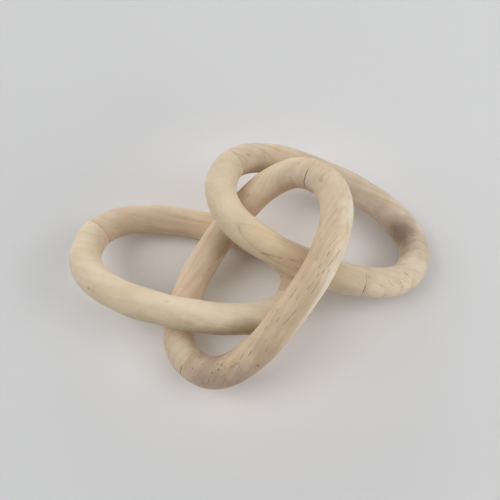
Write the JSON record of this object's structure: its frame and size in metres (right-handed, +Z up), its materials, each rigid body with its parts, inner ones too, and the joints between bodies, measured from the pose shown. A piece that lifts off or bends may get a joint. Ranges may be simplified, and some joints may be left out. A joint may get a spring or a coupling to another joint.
{
  "type": "wooden teething chain",
  "caption": "Chain of interlinked flattened-oval rings of plain round hardwood, lying in a loose pile.",
  "frame": {"origin": "centre of the pile's footprint, on the surface that it lies on", "axes": "+X along the pile's longest way, to the right in the picture; +Y away from the viewer; +Z up"},
  "size_m": [0.1322, 0.0882, 0.0405],
  "materials": {
    "cream_hardwood": "sanded, unfinished",
    "rosy_hardwood": "sanded, unfinished",
    "dowel_hardwood": "raw"
  },
  "bodies": {
    "left_link": {"left_link_far_half": "rosy_hardwood", "left_link_near_half": "cream_hardwood", "left_link_left_dowel": "dowel_hardwood", "left_link_right_dowel": "dowel_hardwood"},
    "middle_link": {"middle_link_left_half": "cream_hardwood", "middle_link_right_half": "rosy_hardwood", "middle_link_top_dowel": "dowel_hardwood", "middle_link_bottom_dowel": "dowel_hardwood"},
    "right_link": {"right_link_far_half": "rosy_hardwood", "right_link_near_half": "cream_hardwood", "right_link_left_dowel": "dowel_hardwood", "right_link_right_dowel": "dowel_hardwood"}
  },
  "joints": [
    {"name": "middle_link_swing", "type": "hinge", "parent": "left_link", "child": "middle_link", "pos_m": [-0.02636, -0.01818, 0.00599], "axis": [-0.165, -0.9757, -0.144], "range_deg": [0, 80]},
    {"name": "right_link_slide", "type": "slide", "parent": "middle_link", "child": "right_link", "axis": [-0.6644, 0.6644, 0.3422], "range_m": [0, 0.024]}
  ]
}
